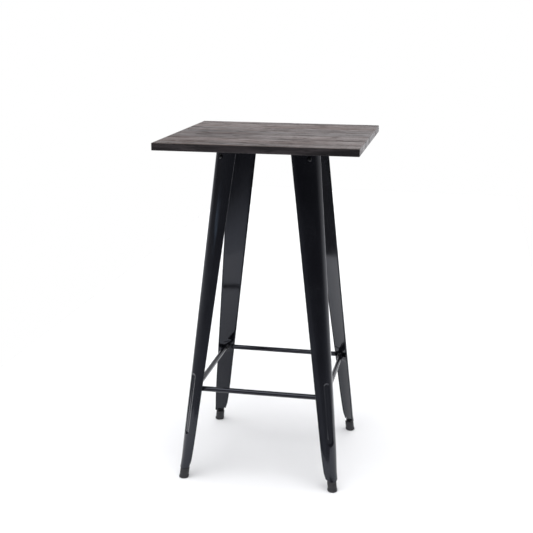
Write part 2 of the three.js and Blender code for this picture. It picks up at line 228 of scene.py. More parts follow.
# ---- materials -----------------------------------------------------------------------------
class Nodes:
    """Short forms for building one material's node tree."""

    def __init__(self, name):
        self.material = bpy.data.materials.new(name)
        self.material.use_nodes = True
        self.tree = self.material.node_tree
        self.shader = self.tree.nodes["Principled BSDF"]
        self.position = self.tree.nodes.new("ShaderNodeTexCoord").outputs["Object"]

    def feed(self, socket, value):
        if isinstance(value, bpy.types.NodeSocket):
            self.tree.links.new(value, socket)
        else:
            socket.default_value = value

    def math(self, operation, *values):
        node = self.tree.nodes.new("ShaderNodeMath")
        node.operation = operation
        for socket, value in zip(node.inputs, values):
            self.feed(socket, value)
        return node.outputs[0]

    def scaled(self, scale, vector=None):
        """A place, the object's own if none is given, with its axes scaled."""
        node = self.tree.nodes.new("ShaderNodeMapping")
        self.feed(node.inputs["Vector"], self.position if vector is None else vector)
        node.inputs["Scale"].default_value = scale
        return node.outputs[0]

    def combine(self, x, y, z):
        node = self.tree.nodes.new("ShaderNodeCombineXYZ")
        for socket, value in zip(node.inputs, (x, y, z)):
            self.feed(socket, value)
        return node.outputs[0]

    def separate(self, vector):
        node = self.tree.nodes.new("ShaderNodeSeparateXYZ")
        self.feed(node.inputs[0], vector)
        return node.outputs

    def noise(self, vector, scale=1.0, detail=2.0, roughness=0.5, distortion=0.0):
        node = self.tree.nodes.new("ShaderNodeTexNoise")
        self.feed(node.inputs["Vector"], vector)
        node.inputs["Scale"].default_value = scale
        node.inputs["Detail"].default_value = detail
        node.inputs["Roughness"].default_value = roughness
        node.inputs["Distortion"].default_value = distortion
        return node.outputs["Fac"]

    def remap(self, value, low, high, to_low, to_high):
        node = self.tree.nodes.new("ShaderNodeMapRange")
        node.interpolation_type = "SMOOTHSTEP"
        names = ("Value", "From Min", "From Max", "To Min", "To Max")
        for name, v in zip(names, (value, low, high, to_low, to_high)):
            self.feed(node.inputs[name], v)
        return node.outputs[0]

    def blend(self, factor, a, b, kind="MIX"):
        node = self.tree.nodes.new("ShaderNodeMix")
        node.data_type = "RGBA"
        node.blend_type = kind
        self.feed(node.inputs["Factor"], factor)
        self.feed(node.inputs[6], a if isinstance(a, bpy.types.NodeSocket) else (*a, 1))
        self.feed(node.inputs[7], b if isinstance(b, bpy.types.NodeSocket) else (*b, 1))
        return node.outputs[2]

    def bump(self, height, distance, strength=1.0, normal=None):
        node = self.tree.nodes.new("ShaderNodeBump")
        node.inputs["Distance"].default_value = distance
        node.inputs["Strength"].default_value = strength
        self.feed(node.inputs["Height"], height)
        if normal is not None:
            self.feed(node.inputs["Normal"], normal)
        return node.outputs[0]

    def set(self, name, value):
        self.feed(self.shader.inputs[name], value)


def wood():
    """Dark stained, brushed, oiled boards. The grain runs along X and changes at each joint."""
    n = Nodes("wood_dark_oiled")
    x, y, z = n.separate(n.position)
    pitch = 100 * MM
    board = n.math("FLOOR", n.math("DIVIDE", n.math("ADD", y, pitch / 2), pitch))
    shift = n.math("MULTIPLY", board, 0.37)
    across = n.math("ADD", y, n.math("MULTIPLY", z, 0.9))
    grain_place = n.combine(n.math("ADD", x, shift), across, shift)

    def streaks(along, over, detail=3.0, roughness=0.55, distortion=0.0):
        place = n.scaled((along, over, 1.0), grain_place)
        return n.noise(place, 1.0, detail, roughness, distortion)

    figure = streaks(2.6, 24, 4.0, 0.55, 0.6)
    fibres = streaks(9, 420, 3.0, 0.6)
    bands = streaks(4.5, 95, 3.0, 0.6, 0.3)
    pores = streaks(38, 1100, 1.0)
    patches = streaks(16, 70, 2.0, 0.6, 0.4)
    board_tone = n.noise(n.combine(shift, board, 0.5), 3.1, 0.0)

    tone = n.math("ADD", n.math("MULTIPLY", figure, 0.5), n.math("MULTIPLY", bands, 0.35))
    tone = n.math("ADD", tone, n.math("MULTIPLY", fibres, 0.25))
    tone = n.math("ADD", tone, n.math("MULTIPLY", n.math("SUBTRACT", board_tone, 0.5), 0.25))
    dark, pale = (0.020, 0.0150, 0.0140), (0.096, 0.074, 0.068)
    colour = n.blend(n.remap(tone, 0.40, 0.68, 0.0, 1.0), dark, pale)
    pore_mask = n.remap(pores, 0.56, 0.70, 0.0, 1.0)
    colour = n.blend(n.math("MULTIPLY", pore_mask, 0.6), colour, (0.006, 0.005, 0.0045))
    patch_mask = n.remap(patches, 0.55, 0.67, 0.0, 1.0)
    colour = n.blend(n.math("MULTIPLY", patch_mask, 0.6), colour, (0.009, 0.0062, 0.0056))

    # The arrises are rubbed a little paler along the top's edges.
    rub_start, rub_full = HALF_TOP - 2.2 * MM, HALF_TOP - 0.8 * MM
    edge_x = n.remap(n.math("ABSOLUTE", x), rub_start, rub_full, 0.0, 1.0)
    edge_y = n.remap(n.math("ABSOLUTE", y), rub_start, rub_full, 0.0, 1.0)
    near_top = n.remap(z, TOP_Z - 2.2 * MM, TOP_Z - 0.6 * MM, 0.0, 1.0)
    rubbed = n.math("MULTIPLY", n.math("MAXIMUM", edge_x, edge_y), near_top)
    wear = n.remap(n.noise(n.scaled((30, 30, 30)), 1.0, 3.0), 0.45, 0.65, 0.0, 0.5)
    rubbed = n.math("MULTIPLY", rubbed, wear)
    colour = n.blend(rubbed, colour, (0.10, 0.078, 0.066))
    # Painted light and shade: the upper face and the end grain are painted brighter and warmer, and
    # the long edges darker and cooler, for how the light falls on each face.
    upper = n.remap(z, TOP_Z - 1.2 * MM, TOP_Z - 0.3 * MM, 0.0, 1.0)
    ends = n.remap(n.math("ABSOLUTE", x), HALF_TOP - 1.2 * MM, HALF_TOP - 0.3 * MM, 0.0, 1.0)
    painted_face_light = n.blend(n.math("MAXIMUM", upper, ends), (0.5, 0.54, 0.62), (1.05, 0.90, 0.83))
    # This multiplies the painted face light and shade into the wood's colour.
    colour = n.blend(1.0, colour, painted_face_light, "MULTIPLY")
    n.set("Base Color", colour)

    smears = n.noise(n.scaled((7, 7, 7)), 1.0, 3.0, 0.6)
    rough = n.remap(fibres, 0.3, 0.7, 0.30, 0.44)
    rough = n.math("ADD", rough, n.remap(smears, 0.35, 0.7, -0.04, 0.08))
    rough = n.math("ADD", rough, n.math("MULTIPLY", patch_mask, 0.30))
    n.set("Roughness", rough)
    relief = n.math("ADD", n.math("MULTIPLY", fibres, 0.7), n.math("MULTIPLY", bands, 0.5))
    relief = n.math("SUBTRACT", relief, n.math("MULTIPLY", pore_mask, 0.8))
    relief = n.math("SUBTRACT", relief, n.math("MULTIPLY", patch_mask, 0.6))
    n.set("Normal", n.bump(relief, 0.16 * MM, 0.9))
    n.shader.inputs["IOR"].default_value = 1.5
    n.shader.inputs["Specular IOR Level"].default_value = 0.25
    return n.material


def gloss_black():
    """Gloss black powder coat: orange peel, smudges, hairline scratches and a little dust."""
    n = Nodes("steel_gloss_black")
    peel = n.noise(n.scaled((1, 1, 1)), 330.0, 2.0, 0.45)
    waves = n.noise(n.scaled((1, 1, 0.25)), 26.0, 1.0)
    smudge = n.noise(n.scaled((1, 1, 0.6)), 14.0, 4.0, 0.65, 0.5)
    hairline = n.noise(n.scaled((1, 1, 0.03)), 900.0, 1.0, 0.5, 0.2)
    speck = n.noise(n.position, 1500.0, 1.0)
    dust_cover = n.remap(smudge, 0.45, 0.7, 0.0, 0.35)
    dust = n.math("MULTIPLY", n.remap(speck, 0.66, 0.74, 0.0, 1.0), dust_cover)
    deep, paler = (0.0042, 0.0044, 0.0060), (0.0070, 0.0073, 0.0096)
    base = n.blend(n.remap(smudge, 0.3, 0.7, 0.0, 1.0), deep, paler)
    n.set("Base Color", n.blend(dust, base, (0.12, 0.12, 0.12)))
    rough = n.remap(smudge, 0.35, 0.75, 0.07, 0.13)
    scratch = n.remap(hairline, 0.60, 0.72, 0.0, 1.0)
    n.set("Roughness", n.math("ADD", rough, n.math("MULTIPLY", scratch, 0.05)))
    flow = n.bump(waves, 0.25 * MM, 0.35)
    n.set("Normal", n.bump(peel, 0.035 * MM, 0.35, flow))
    n.shader.inputs["IOR"].default_value = 1.5
    n.shader.inputs["Specular Tint"].default_value = (0.84, 0.87, 1.0, 1.0)
    return n.material


def satin_black():
    """Satin powder coat for the under-frame: a fine pebbled film with rubbed patches."""
    n = Nodes("steel_satin_black")
    pebble = n.noise(n.position, 700.0, 3.0, 0.6)
    smudge = n.noise(n.position, 22.0, 4.0, 0.6)
    rub = n.remap(n.noise(n.scaled((1, 1, 1)), 75.0, 5.0, 0.7), 0.58, 0.72, 0.0, 0.6)
    deep, paler = (0.0085, 0.0085, 0.0095), (0.015, 0.015, 0.0165)
    base = n.blend(n.remap(smudge, 0.3, 0.7, 0.0, 1.0), deep, paler)
    n.set("Base Color", n.blend(rub, base, (0.030, 0.029, 0.028)))
    n.set("Roughness", n.remap(smudge, 0.3, 0.75, 0.34, 0.52))
    n.set("Normal", n.bump(pebble, 0.08 * MM, 0.5))
    return n.material


def black_fastener():
    """Black enamelled steel with a fine grain and rubbed high spots."""
    n = Nodes("fastener_black")
    grain = n.noise(n.position, 1600.0, 3.0, 0.6)
    tone = n.noise(n.position, 160.0, 3.0, 0.6)
    rubbed = n.remap(tone, 0.56, 0.74, 0.0, 1.0)
    n.set("Base Color", n.blend(rubbed, (0.008, 0.008, 0.010), (0.034, 0.034, 0.037)))
    n.set("Roughness", n.remap(grain, 0.3, 0.7, 0.22, 0.40))
    n.shader.inputs["Metallic"].default_value = 0.25
    n.set("Normal", n.bump(grain, 0.03 * MM, 0.5))
    return n.material


def zinc():
    """Zinc plate: pale, faintly blotched, slightly yellow in places."""
    n = Nodes("fastener_zinc")
    spangle = n.noise(n.position, 420.0, 4.0, 0.65)
    blotch = n.noise(n.position, 90.0, 3.0, 0.6)
    bright = n.blend(n.remap(blotch, 0.35, 0.7, 0.0, 1.0), (0.52, 0.53, 0.55), (0.62, 0.59, 0.50))
    dull = n.remap(spangle, 0.55, 0.72, 0.0, 0.5)
    n.set("Base Color", n.blend(dull, bright, (0.30, 0.30, 0.31)))
    n.set("Roughness", n.remap(spangle, 0.3, 0.7, 0.26, 0.46))
    n.shader.inputs["Metallic"].default_value = 1.0
    n.set("Normal", n.bump(spangle, 0.03 * MM, 0.4))
    return n.material


def rubber():
    """Moulded black rubber: fine pebble, scuffed and dusty towards the sole."""
    n = Nodes("rubber_moulded")
    z = n.separate(n.position)[2]
    pebble = n.noise(n.position, 1300.0, 3.0, 0.6)
    scuff = n.noise(n.scaled((1, 1, 3)), 190.0, 4.0, 0.7)
    low = n.remap(z, 0.0, 9 * MM, 0.55, 0.0)
    dusty = n.math("MULTIPLY", low, n.remap(scuff, 0.45, 0.7, 0.0, 1.0))
    n.set("Base Color", n.blend(dusty, (0.016, 0.016, 0.019), (0.085, 0.082, 0.078)))
    n.set("Roughness", n.remap(scuff, 0.3, 0.7, 0.36, 0.56))
    n.set("Normal", n.bump(pebble, 0.06 * MM, 0.5))
    return n.material


MATERIALS = {
    "wood": wood(),
    "gloss_black_steel": gloss_black(),
    "black_steel": satin_black(),
    "black_fastener": black_fastener(),
    "zinc_fastener": zinc(),
    "rubber": rubber(),
}


# ---- legs ----------------------------------------------------------------------------------
def end_bend(z, start):
    """0 at the height start, growing as a parabola to 1 at the leg's lower end."""
    return ((start - z) / (start - LEG_END)) ** 2 if z < start else 0.0


def chord_at(z):
    """Where the leg's inner face lies along its diagonal, at a height."""
    return CHORD_AT_FLOOR - LEAN * z + FLARE * end_bend(z, FLARE_START)


def half_width_at(z):
    return (WIDTH_AT_FLOOR + WIDTH_GROWTH * z - END_TAPER * end_bend(z, TAPER_START)) / 2


def shell_arc(z):
    """The shell's outer arc at a height: the place of its centre and its radius."""
    rise, reach = LEG_DEPTH - HEM, half_width_at(z) - HEM
    radius = (reach**2 + rise**2 - HEM**2) / (2 * (rise - HEM))
    return chord_at(z) + LEG_DEPTH - radius, radius


def groove_depth(distance, z):
    """How far the pressed groove goes in, at an arc distance from the leg's outer line."""
    radius = GROOVE["radius"]
    beyond = max(GROOVE["bottom"] + radius - z, z - GROOVE["top"] + radius, 0.0)
    inside = radius - math.hypot(distance, beyond)
    return GROOVE["depth"] * ramp_eased(inside / GROOVE["wall"])


def shell_section(z):
    """Outer and inner lines of the folded sheet: hem, arc with its groove, hem."""
    centre, radius = shell_arc(z)
    hem_x, reach = chord_at(z) + HEM, half_width_at(z) - HEM
    end = math.atan2(reach, hem_x - centre)
    fine = [0, 2, 4, 5.2, 6, 6.8, 7.6, 8.4, 9.2, 10, 10.8, 11.6, 12.4, 13.4]
    near = [f * MM / radius for f in fine]
    half = near + [lerp(near[-1], end, k / 16) for k in range(1, 17)]
    outer, inner = [], []
    for angle in [-a for a in reversed(half[1:])] + half:
        depth = groove_depth(angle * radius, z)
        c, s = math.cos(angle), math.sin(angle)
        outer.append((centre + (radius - depth) * c, (radius - depth) * s))
        inner.append((centre + (radius - SHEET - depth) * c, (radius - SHEET - depth) * s))

    def fold(side):
        """From the arc's end round the rolled hem and down its wall beside the panel."""
        out, back = [], []
        angles = [lerp(end, math.pi, k / 7) for k in range(1, 8)]
        angles += [math.pi * (1 + k / 10) for k in range(1, 6)]
        for angle in angles:
            c, s = math.cos(angle), math.sin(angle)
            out.append((hem_x + HEM * c, side * (reach + HEM * s)))
            back.append((hem_x + (HEM - SHEET) * c, side * (reach + (HEM - SHEET) * s)))
        for line in (out, back):
            line.append((hem_x + HEM_DEPTH, line[-1][1]))
        return out, back

    right_out, right_in = fold(1)
    left_out, left_in = fold(-1)
    outline = list(reversed(left_out)) + outer + right_out
    lining = list(reversed(left_in)) + inner + right_in
    return outline, lining


def leg_stations():
    """Heights of the shell's sections, closest together where it bends and at the groove's ends."""
    inward = (-1.5, 0, 0.8, 1.6, 2.4, 3.2, 4.2, 5.4, 6.8, 8.4, 10.5)
    ends = [GROOVE["bottom"] + k * MM for k in inward]
    ends += [GROOVE["top"] - k * MM for k in inward]
    low = [LEG_END + (TAPER_START - LEG_END) * (k / 16) ** 1.3 for k in range(16)]
    middle = [lerp(170 * MM, 320 * MM, k / 5) for k in range(6)]
    high = [lerp(360 * MM, LEG_TOP, k / 14) for k in range(15)]
    return sorted(set(low + ends + middle + high))


def leg_shell(name, turn):
    """The folded sheet, with the strip of its cut edge closing each end."""
    sections = []
    for z in leg_stations():
        outline, lining = shell_section(z)
        half_width = half_width_at(z)
        rise = LEG_END_RISE * (1 - smoothstep(z, LEG_END, LEG_END + LEG_END_BLEND))
        ring = outline + lining[::-1]
        sections.append([(x, y, z + rise * (abs(y) / half_width) ** 3) for x, y in ring])
    verts, faces = skin(sections, caps=False)
    count = len(sections[0])
    for base in (0, len(verts) - count):
        for i in range(count // 2 - 1):
            faces.append((base + i, base + i + 1, base + count - 2 - i, base + count - 1 - i))
    solid = (verts, faces)
    add_piece(f"{name}_shell", solid, turn, "gloss_black_steel", f"{name}_leg_shell", 40)


def pad_at(z):
    """1 where the inner panel rises flush with the hems, to carry the footrests."""
    off = abs(z - STRETCHER_Z) - PAD["half"]
    return 1 - smoothstep(off, 0.0, PAD["blend"])


def panel_face(z, t):
    """The inner panel's face, at a height and at a share t of its half width."""
    hollow = RECESS + DISH * (1 - t * t)
    return chord_at(z) + lerp(hollow, PAD["recess"], pad_at(z))


def leg_panel(name, turn):
    """The inner panel, its lower corners cut round and its front edges eased."""
    stations = [PANEL_END, PANEL_END + 0.8 * MM, PANEL_END + 1.8 * MM, PANEL_END + PANEL_CORNER]
    stations += [lerp(PANEL_END + 6 * MM, TAPER_START, k / 14) for k in range(15)]
    stations += [lerp(TAPER_START + 25 * MM, LEG_TOP, k / 24) for k in range(25)]
    reach = PAD["half"] + PAD["blend"]
    stations += [STRETCHER_Z + lerp(-reach, reach, k / 18) for k in range(19)]
    stations = sorted({round(z, 5) for z in stations})
    sections = []
    for z in stations:
        below = PANEL_CORNER - min(z - PANEL_END, PANEL_CORNER)
        corner = PANEL_CORNER - math.sqrt(max(PANEL_CORNER**2 - below**2, 0))
        x, w = panel_face(z, 1), half_width_at(z) - 2 * HEM - SEAM - corner
        face = [(panel_face(z, t), w * t) for t in (0.9 - 0.15 * k for k in range(13))]
        back = [(px + SHEET, py) for px, py in reversed(face)]
        corners = [(x, w)] + face + [(x, -w), (x + SHEET, -w)] + back + [(x + SHEET, w)]
        plain = [0.0] * len(face)
        radii = [PANEL_FRONT_EASING] + plain + [PANEL_FRONT_EASING, PANEL_BACK_EASING]
        radii += plain + [PANEL_BACK_EASING]
        sections.append([(p.x, p.y, z) for p in rounded_polyline(corners, radii, 3)])
    node = f"{name}_leg_inner_panel"
    add_piece(f"{name}_panel", skin(sections), turn, "gloss_black_steel", node, 50)


def plug_radius(angle, z, centre):
    """How far a plug about (centre, 0) may reach at one angle inside the hollow leg."""
    clearance, step_in = 0.4 * MM, 0.6 * MM
    arc_centre, radius = shell_arc(z)
    offset = centre - arc_centre
    inside = radius - SHEET - clearance
    c, s = math.cos(angle), math.sin(angle)
    to_arc = -offset * c + math.sqrt(inside**2 - (offset * s) ** 2)
    limits = [to_arc, FOOT["neck"] - step_in]
    if c < 0:
        panel = RECESS + DISH + SHEET if z > PANEL_END - 2 * MM else 0.0
        limits.append((centre - chord_at(z) - panel - clearance) / -c)
    return min(limits)


def foot(name, turn):
    """A moulded foot: flared round sole, sleeve with a thin ring, and a plug shaped to the leg."""
    top, neck, ring_depth = FOOT["neck_top"], FOOT["neck"], 0.3 * MM
    sole = [(0, 0), (6, 0), (11.8, 0), (13.0, 0.15), (14.0, 0.6), (14.8, 1.3), (15.3, 2.3)]
    sole += [(15.6, 3.5), (15.7, 4.8), (15.6, 6), (15.4, 7.2), (15.1, 8.4), (14.8, 9.6), (14.6, 11)]
    profile = [(r * MM, z * MM) for r, z in sole]
    profile += [(neck, 13 * MM), (neck, 20 * MM), (neck, 27 * MM)]
    profile += [(neck - ring_depth, 27.4 * MM), (neck - ring_depth, 28 * MM), (neck, 28.4 * MM)]
    profile += [(neck, top - 1.4 * MM), (neck - 0.3 * MM, top - 0.5 * MM), (neck - 0.8 * MM, top)]
    segments = 72
    rings = []
    for ring in turned(profile, segments):
        rings.append([(x + FOOT["centre"] - FOOT["lean"] * z, y, z) for x, y, z in ring])
    # The plug: each height, and how far its side is drawn in there.
    plug = [(top, 0.6 * MM), (top + 0.6 * MM, 0.1 * MM), (lerp(top, PANEL_END, 0.5), 0.0)]
    plug += [(PANEL_END - 2 * MM, 0.0), (PANEL_END - 1 * MM, 0.0), (PANEL_END + 4 * MM, 0.0)]
    plug += [(PLUG_TOP - 3 * MM, 0.1 * MM), (PLUG_TOP - 1.2 * MM, 0.7 * MM), (PLUG_TOP, 2.2 * MM)]
    for z, draw in plug:
        centre = FOOT["centre"] - FOOT["lean"] * z
        ring = []
        for k in range(segments):
            angle = 2 * math.pi * k / segments
            r = plug_radius(angle, z, centre) - draw
            ring.append((centre + r * math.cos(angle), r * math.sin(angle), z))
        rings.append(ring)
    add_piece(f"{name}_rubber_foot", skin(rings), turn, "rubber", f"{name}_foot", 50)


# ---- fasteners -----------------------------------------------------------------------------
def hex_radius(angle, across_flats):
    folded = (angle + math.pi / 6) % (math.pi / 3) - math.pi / 6
    return across_flats / 2 / math.cos(folded)


def button_bolt(length, scale=1.0):
    """A button head on z = 0 with a hexagon socket, and a shank below with a chamfered tip."""
    segments = 48
    angles = [2 * math.pi * k / segments for k in range(segments)]
    head, height, shank = BOLT["head"] * scale, BOLT["height"] * scale, BOLT["shank"] * scale
    tip, edge, rim = 0.9 * MM, 0.25 * MM, 0.75 * MM
    profile = [(0.0, -length), (shank - tip, -length), (shank, tip - length), (shank, -0.2 * MM)]
    profile += [(shank, 0.0), (head - edge, 0.0), (head, edge), (head, rim)]
    dome, steps, flat_share = math.radians(64), 7, 0.52
    for k in range(1, steps + 1):
        t = k / steps * dome
        r = lerp(head, head * flat_share, (1 - math.cos(t)) / (1 - math.cos(dome)))
        profile.append((r, rim + (height - rim) * math.sin(t) / math.sin(dome)))
    rings = turned(profile, segments)
    flats = BOLT["socket"] * 2 * scale
    bottom = height - BOLT["socket_depth"] * scale
    for grow, z in ((1.10, height), (1.0, height - 0.35 * MM), (1.0, bottom)):
        radii = [hex_radius(a, flats * grow) for a in angles]
        rings.append([(r * math.cos(a), r * math.sin(a), z) for r, a in zip(radii, angles)])
    point, drill_cone = 0.3 * MM, 0.9 * MM
    rings += turned([(point, bottom - drill_cone)], segments)
    return skin(rings)


def hex_nut():
    """A hexagon nut from z = 0 up, its corners chamfered at both faces, with its bore."""
    segments = 72
    flats, thick = NUT["across_flats"], NUT["thickness"]
    bore, ease = BOLT["shank"] + 0.15 * MM, 0.5 * MM
    corner, rounded, chamfer = flats / math.sqrt(3), flats / 2 * 0.98, 0.75 * MM
    sides = ((rounded, 0.0), (corner, chamfer), (corner, thick - chamfer), (rounded, thick))
    rings = []
    for limit, z in sides:
        ring = []
        for k in range(segments):
            a = 2 * math.pi * k / segments
            r = min(hex_radius(a, flats), limit)
            ring.append((r * math.cos(a), r * math.sin(a), z))
        rings.append(ring)
    rings += turned([(bore + ease, thick), (bore, thick - ease), (bore, ease)], segments)
    rings += turned([(bore + ease, 0.0)], segments)
    verts, faces = skin(rings, caps=False)
    last = (len(rings) - 1) * segments
    for i in range(segments):
        j = (i + 1) % segments
        faces.append((last + i, last + j, j, i))
    return verts, faces


def fasteners(name, turn):
    """The leg bolt and its nut high on the leg, and the stretcher bolt and its nut low down."""

    def lifted(distance):
        return Matrix.Translation((0, 0, distance))

    apex = turn @ across_leg(chord_at(LEG_BOLT_Z) + LEG_DEPTH, LEG_BOLT_Z)
    place = apex @ lifted(GAP)
    solid = button_bolt(LEG_BOLT_LENGTH)
    add_piece(f"{name}_bolt_high", solid, place, "black_fastener", f"{name}_leg_bolt", 40)
    behind = SHEET + TONGUE_SAG + GAP + BRACKET_SHEET + GAP + NUT["thickness"]
    place = apex @ lifted(-behind)
    add_piece(f"{name}_nut_high", hex_nut(), place, "zinc_fastener", f"{name}_leg_nut", 30)

    face = turn @ across_leg(chord_at(STRETCHER_Z), STRETCHER_Z)
    stack = 2 * (GAP + 2 * TAB["half_thickness"]) + GAP
    place = face @ (lifted(-stack) @ Matrix.Rotation(math.pi, 4, "X"))
    solid = button_bolt(stack + BOLT_SPARE)
    add_piece(f"{name}_bolt_low", solid, place, "black_fastener", f"{name}_stretcher_bolt", 40)
    place = face @ lifted(SHEET + GAP)
    add_piece(f"{name}_nut_low", hex_nut(), place, "zinc_fastener", f"{name}_stretcher_nut", 30)


# ---- stretchers ----------------------------------------------------------------------------
def stretcher(name, turn):
    """A round tube whose ends are bent 45 degrees and pressed flat into tabs, outer side flush."""
    half_thickness, half_height, bend = TAB["half_thickness"], TAB["half_height"], TAB["bend"]
    diagonal = math.sqrt(0.5)
    bolt = chord_at(STRETCHER_Z) * diagonal
    # One end lies against the leg and the other on top of the neighbour's tab.
    layers = [GAP + half_thickness, 2 * GAP + 3 * half_thickness]
    y = -bolt + (layers[0] - TAB["reach"]) * diagonal
    bend_step = bend * math.tan(math.pi / 8)
    well_past = 1.0                   # any distance that lies beyond the tube's transition

    def half_path(layer):
        """Stations from tab end to straight tube: distance from the bolt, x, y and heading."""
        reach = TAB["reach"] + layer - layers[0]
        corner = bolt - (layer + reach) * diagonal
        path = []
        tip = [-half_height * math.cos(math.radians(a)) for a in (4, 12, 22, 33, 45, 58, 72, 90)]
        flat = [lerp(0, reach - bend_step, k / 3) for k in (1, 2, 3)]
        for s in tip + flat:
            along = (reach - s) * diagonal
            path.append((s, corner + along, y + along, math.pi / 4))
        centre_x = corner - bend_step
        for k in range(1, 7):
            heading = (1 - k / 6) * math.pi / 4
            s = reach - bend_step + bend * (math.pi / 4 - heading)
            side_x, side_y = bend * math.sin(heading), bend * (1 - math.cos(heading))
            path.append((s, centre_x + side_x, y + side_y, heading))
        last_s, last_x = path[-1][0], path[-1][1]
        step, steps = 1.5 * MM, 14
        for k in range(1, steps + 1):
            path.append((last_s + step * k, last_x - step * k, y, 0.0))
        for k in range(1, 8):
            path.append((last_s + well_past, lerp(last_x - steps * step, 0, k / 8), y, 0.0))
        return path, reach

    def section(station, reach, side):
        """The outline at one station: a flat rounded oblong that swells into a circle."""
        s, x, yy, heading = station
        segments, squareness, thinnest = 48, 0.42, 0.8 * MM
        start = reach - bend_step
        tube = smoothstep(s, start, start + TUBE_TRANSITION)
        thick = lerp(half_thickness, TUBE_RADIUS, tube)
        flat = math.sqrt(max(half_height**2 - s**2, thinnest**2)) if s < 0 else half_height
        high = lerp(flat, TUBE_RADIUS, tube)
        power = lerp(squareness, 1, tube)
        lean = LEAN * (1 - tube)
        inward = Vector((-side * math.sin(heading), math.cos(heading), 0))
        over = (inward + Vector((0, 0, -lean))).normalized()
        up = (inward * lean + Vector((0, 0, 1))).normalized()
        origin = Vector((side * x, yy, STRETCHER_Z)) + inward * (thick - half_thickness)
        ring = []
        for k in range(segments):
            a = 2 * math.pi * (k + 0.5) / segments
            sideways = thick * math.copysign(abs(math.cos(a)) ** power, math.cos(a))
            upward = high * math.copysign(abs(math.sin(a)) ** power, math.sin(a))
            ring.append(origin + over * sideways + up * upward)
        return ring

    left_path, left_reach = half_path(layers[0])
    right_path, right_reach = half_path(layers[1])
    rings = [section(p, left_reach, -1) for p in left_path]
    rings += [section(p, right_reach, 1) for p in reversed(right_path)]
    node = f"{name}_stretcher"
    add_piece(f"{name}_footrest", skin(rings), turn, "gloss_black_steel", node, 45)


# ---- under-frame ---------------------------------------------------------------------------
def rail(name, turn):
    """A folded steel angle, mitred against the legs' inner faces, and its two screws."""
    outer, width, height, wall = RAIL["outer"], RAIL["width"], RAIL["height"], RAIL["wall"]
    mitre = (chord_at(RAIL_TOP) - GAP) * math.sqrt(2)
    bottom = RAIL_TOP - height
    corners = [(-outer, bottom), (wall - outer, bottom), (wall - outer, RAIL_TOP - wall),
               (width - outer, RAIL_TOP - wall), (width - outer, RAIL_TOP), (-outer, RAIL_TOP)]
    edge, inner_fold, outer_fold = 0.5 * MM, 1.2 * MM, 3.0 * MM
    outline = rounded_polyline(corners, [edge, edge, inner_fold, edge, edge, outer_fold], 5)
    sections = []
    for k in range(13):
        t = lerp(-1, 1, k / 12)
        sections.append([(t * (mitre + p.x), p.x, p.y) for p in outline])
    add_piece(f"{name}_angle_rail", skin(sections), turn, "black_steel", f"{name}_rail", 40)
    for end, x in (("a", -RAIL["screw_x"]), ("b", RAIL["screw_x"])):
        node = f"{name}_rail_screw_{end}"
        spot = Matrix.Translation((x, width / 2 + wall / 2 - outer, RAIL_TOP - wall - GAP))
        place = turn @ spot @ Matrix.Rotation(math.pi, 4, "X")
        solid = button_bolt(SCREW_LENGTH, SCREW_SCALE)
        add_piece(f"{node}_head", solid, place, "zinc_fastener", node, 40)


def bracket(name):
    """The corner bracket's own shape with its cut edges broken."""
    node = f"{name}_corner_bracket"
    bm = bmesh.new()
    bm.from_mesh(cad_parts[node].data)
    bmesh.ops.remove_doubles(bm, verts=bm.verts, dist=1e-6)
    bmesh.ops.dissolve_limit(bm, angle_limit=math.radians(1), verts=bm.verts, edges=bm.edges)
    sharp = math.radians(30)
    edges = [e for e in bm.edges if len(e.link_faces) == 2 and e.calc_face_angle() > sharp]
    bmesh.ops.bevel(bm, geom=edges, offset=BRACKET_EASING, segments=3, affect="EDGES",
                    clamp_overlap=True)
    bmesh.ops.triangulate(bm, faces=[f for f in bm.faces if len(f.verts) > 4])
    bm.verts.ensure_lookup_table()
    verts = [tuple(v.co) for v in bm.verts]
    faces = [[v.index for v in f.verts] for f in bm.faces]
    bm.free()
    add_piece(f"{name}_bracket", (verts, faces), Matrix.Identity(4), "black_steel", node, 40)


# ---- top -----------------------------------------------------------------------------------
def board(node):
    """One board: eased where it meets the table's edge, a fine arris along each joint."""
    low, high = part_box(node)
    outer, joint = BOARD_EASING["outer"], BOARD_EASING["joint"]
    front = outer if low.y < -HALF_TOP + MM else joint
    back = outer if high.y > HALF_TOP - MM else joint
    steps = 4
    angles = [math.radians(90 * k / steps) for k in range(steps + 1)]
    ends = [(outer * (1 - math.cos(a)), outer * (1 - math.sin(a))) for a in angles]
    stations = [(low.x + ease, inset) for ease, inset in ends]
    stations += [(lerp(low.x, high.x, k / 24), 0.0) for k in range(1, 24)]
    stations += [(high.x - ease, inset) for ease, inset in reversed(ends)]
    sections = []
    for x, shrink in stations:
        y0 = low.y + (shrink if front == outer else 0)
        y1 = high.y - (shrink if back == outer else 0)
        z0, z1 = low.z + shrink, high.z - shrink
        radii = [max(r - shrink * 0.6, 0.2 * MM) for r in (front, back, back, front)]
        outline = rounded_polyline([(y0, z0), (y1, z0), (y1, z1), (y0, z1)], radii, 4)
        sections.append([(x, p.x, p.y) for p in outline])
    add_piece(f"{node}_plank", skin(sections), Matrix.Identity(4), "wood", node, 40)


for node in BOARDS:
    board(node)
for where, angle in CORNERS.items():
    leg_shell(where, turned_by(angle))
    leg_panel(where, turned_by(angle))
    foot(where, turned_by(angle))
    fasteners(where, turned_by(angle))
    bracket(where)
for where, angle in SIDES.items():
    stretcher(where, turned_by(angle))
    rail(where, turned_by(angle))


# ---- studio --------------------------------------------------------------------------------
PAPER = [(-1.25, -1.15), (-0.22, -1.15), (-0.12, -0.66), (1.0, -0.66), (1.0, 5.0), (-1.25, 5.0)]
PAPER_DROP = 0.2 * MM                 # keeps the paper just clear of the soles


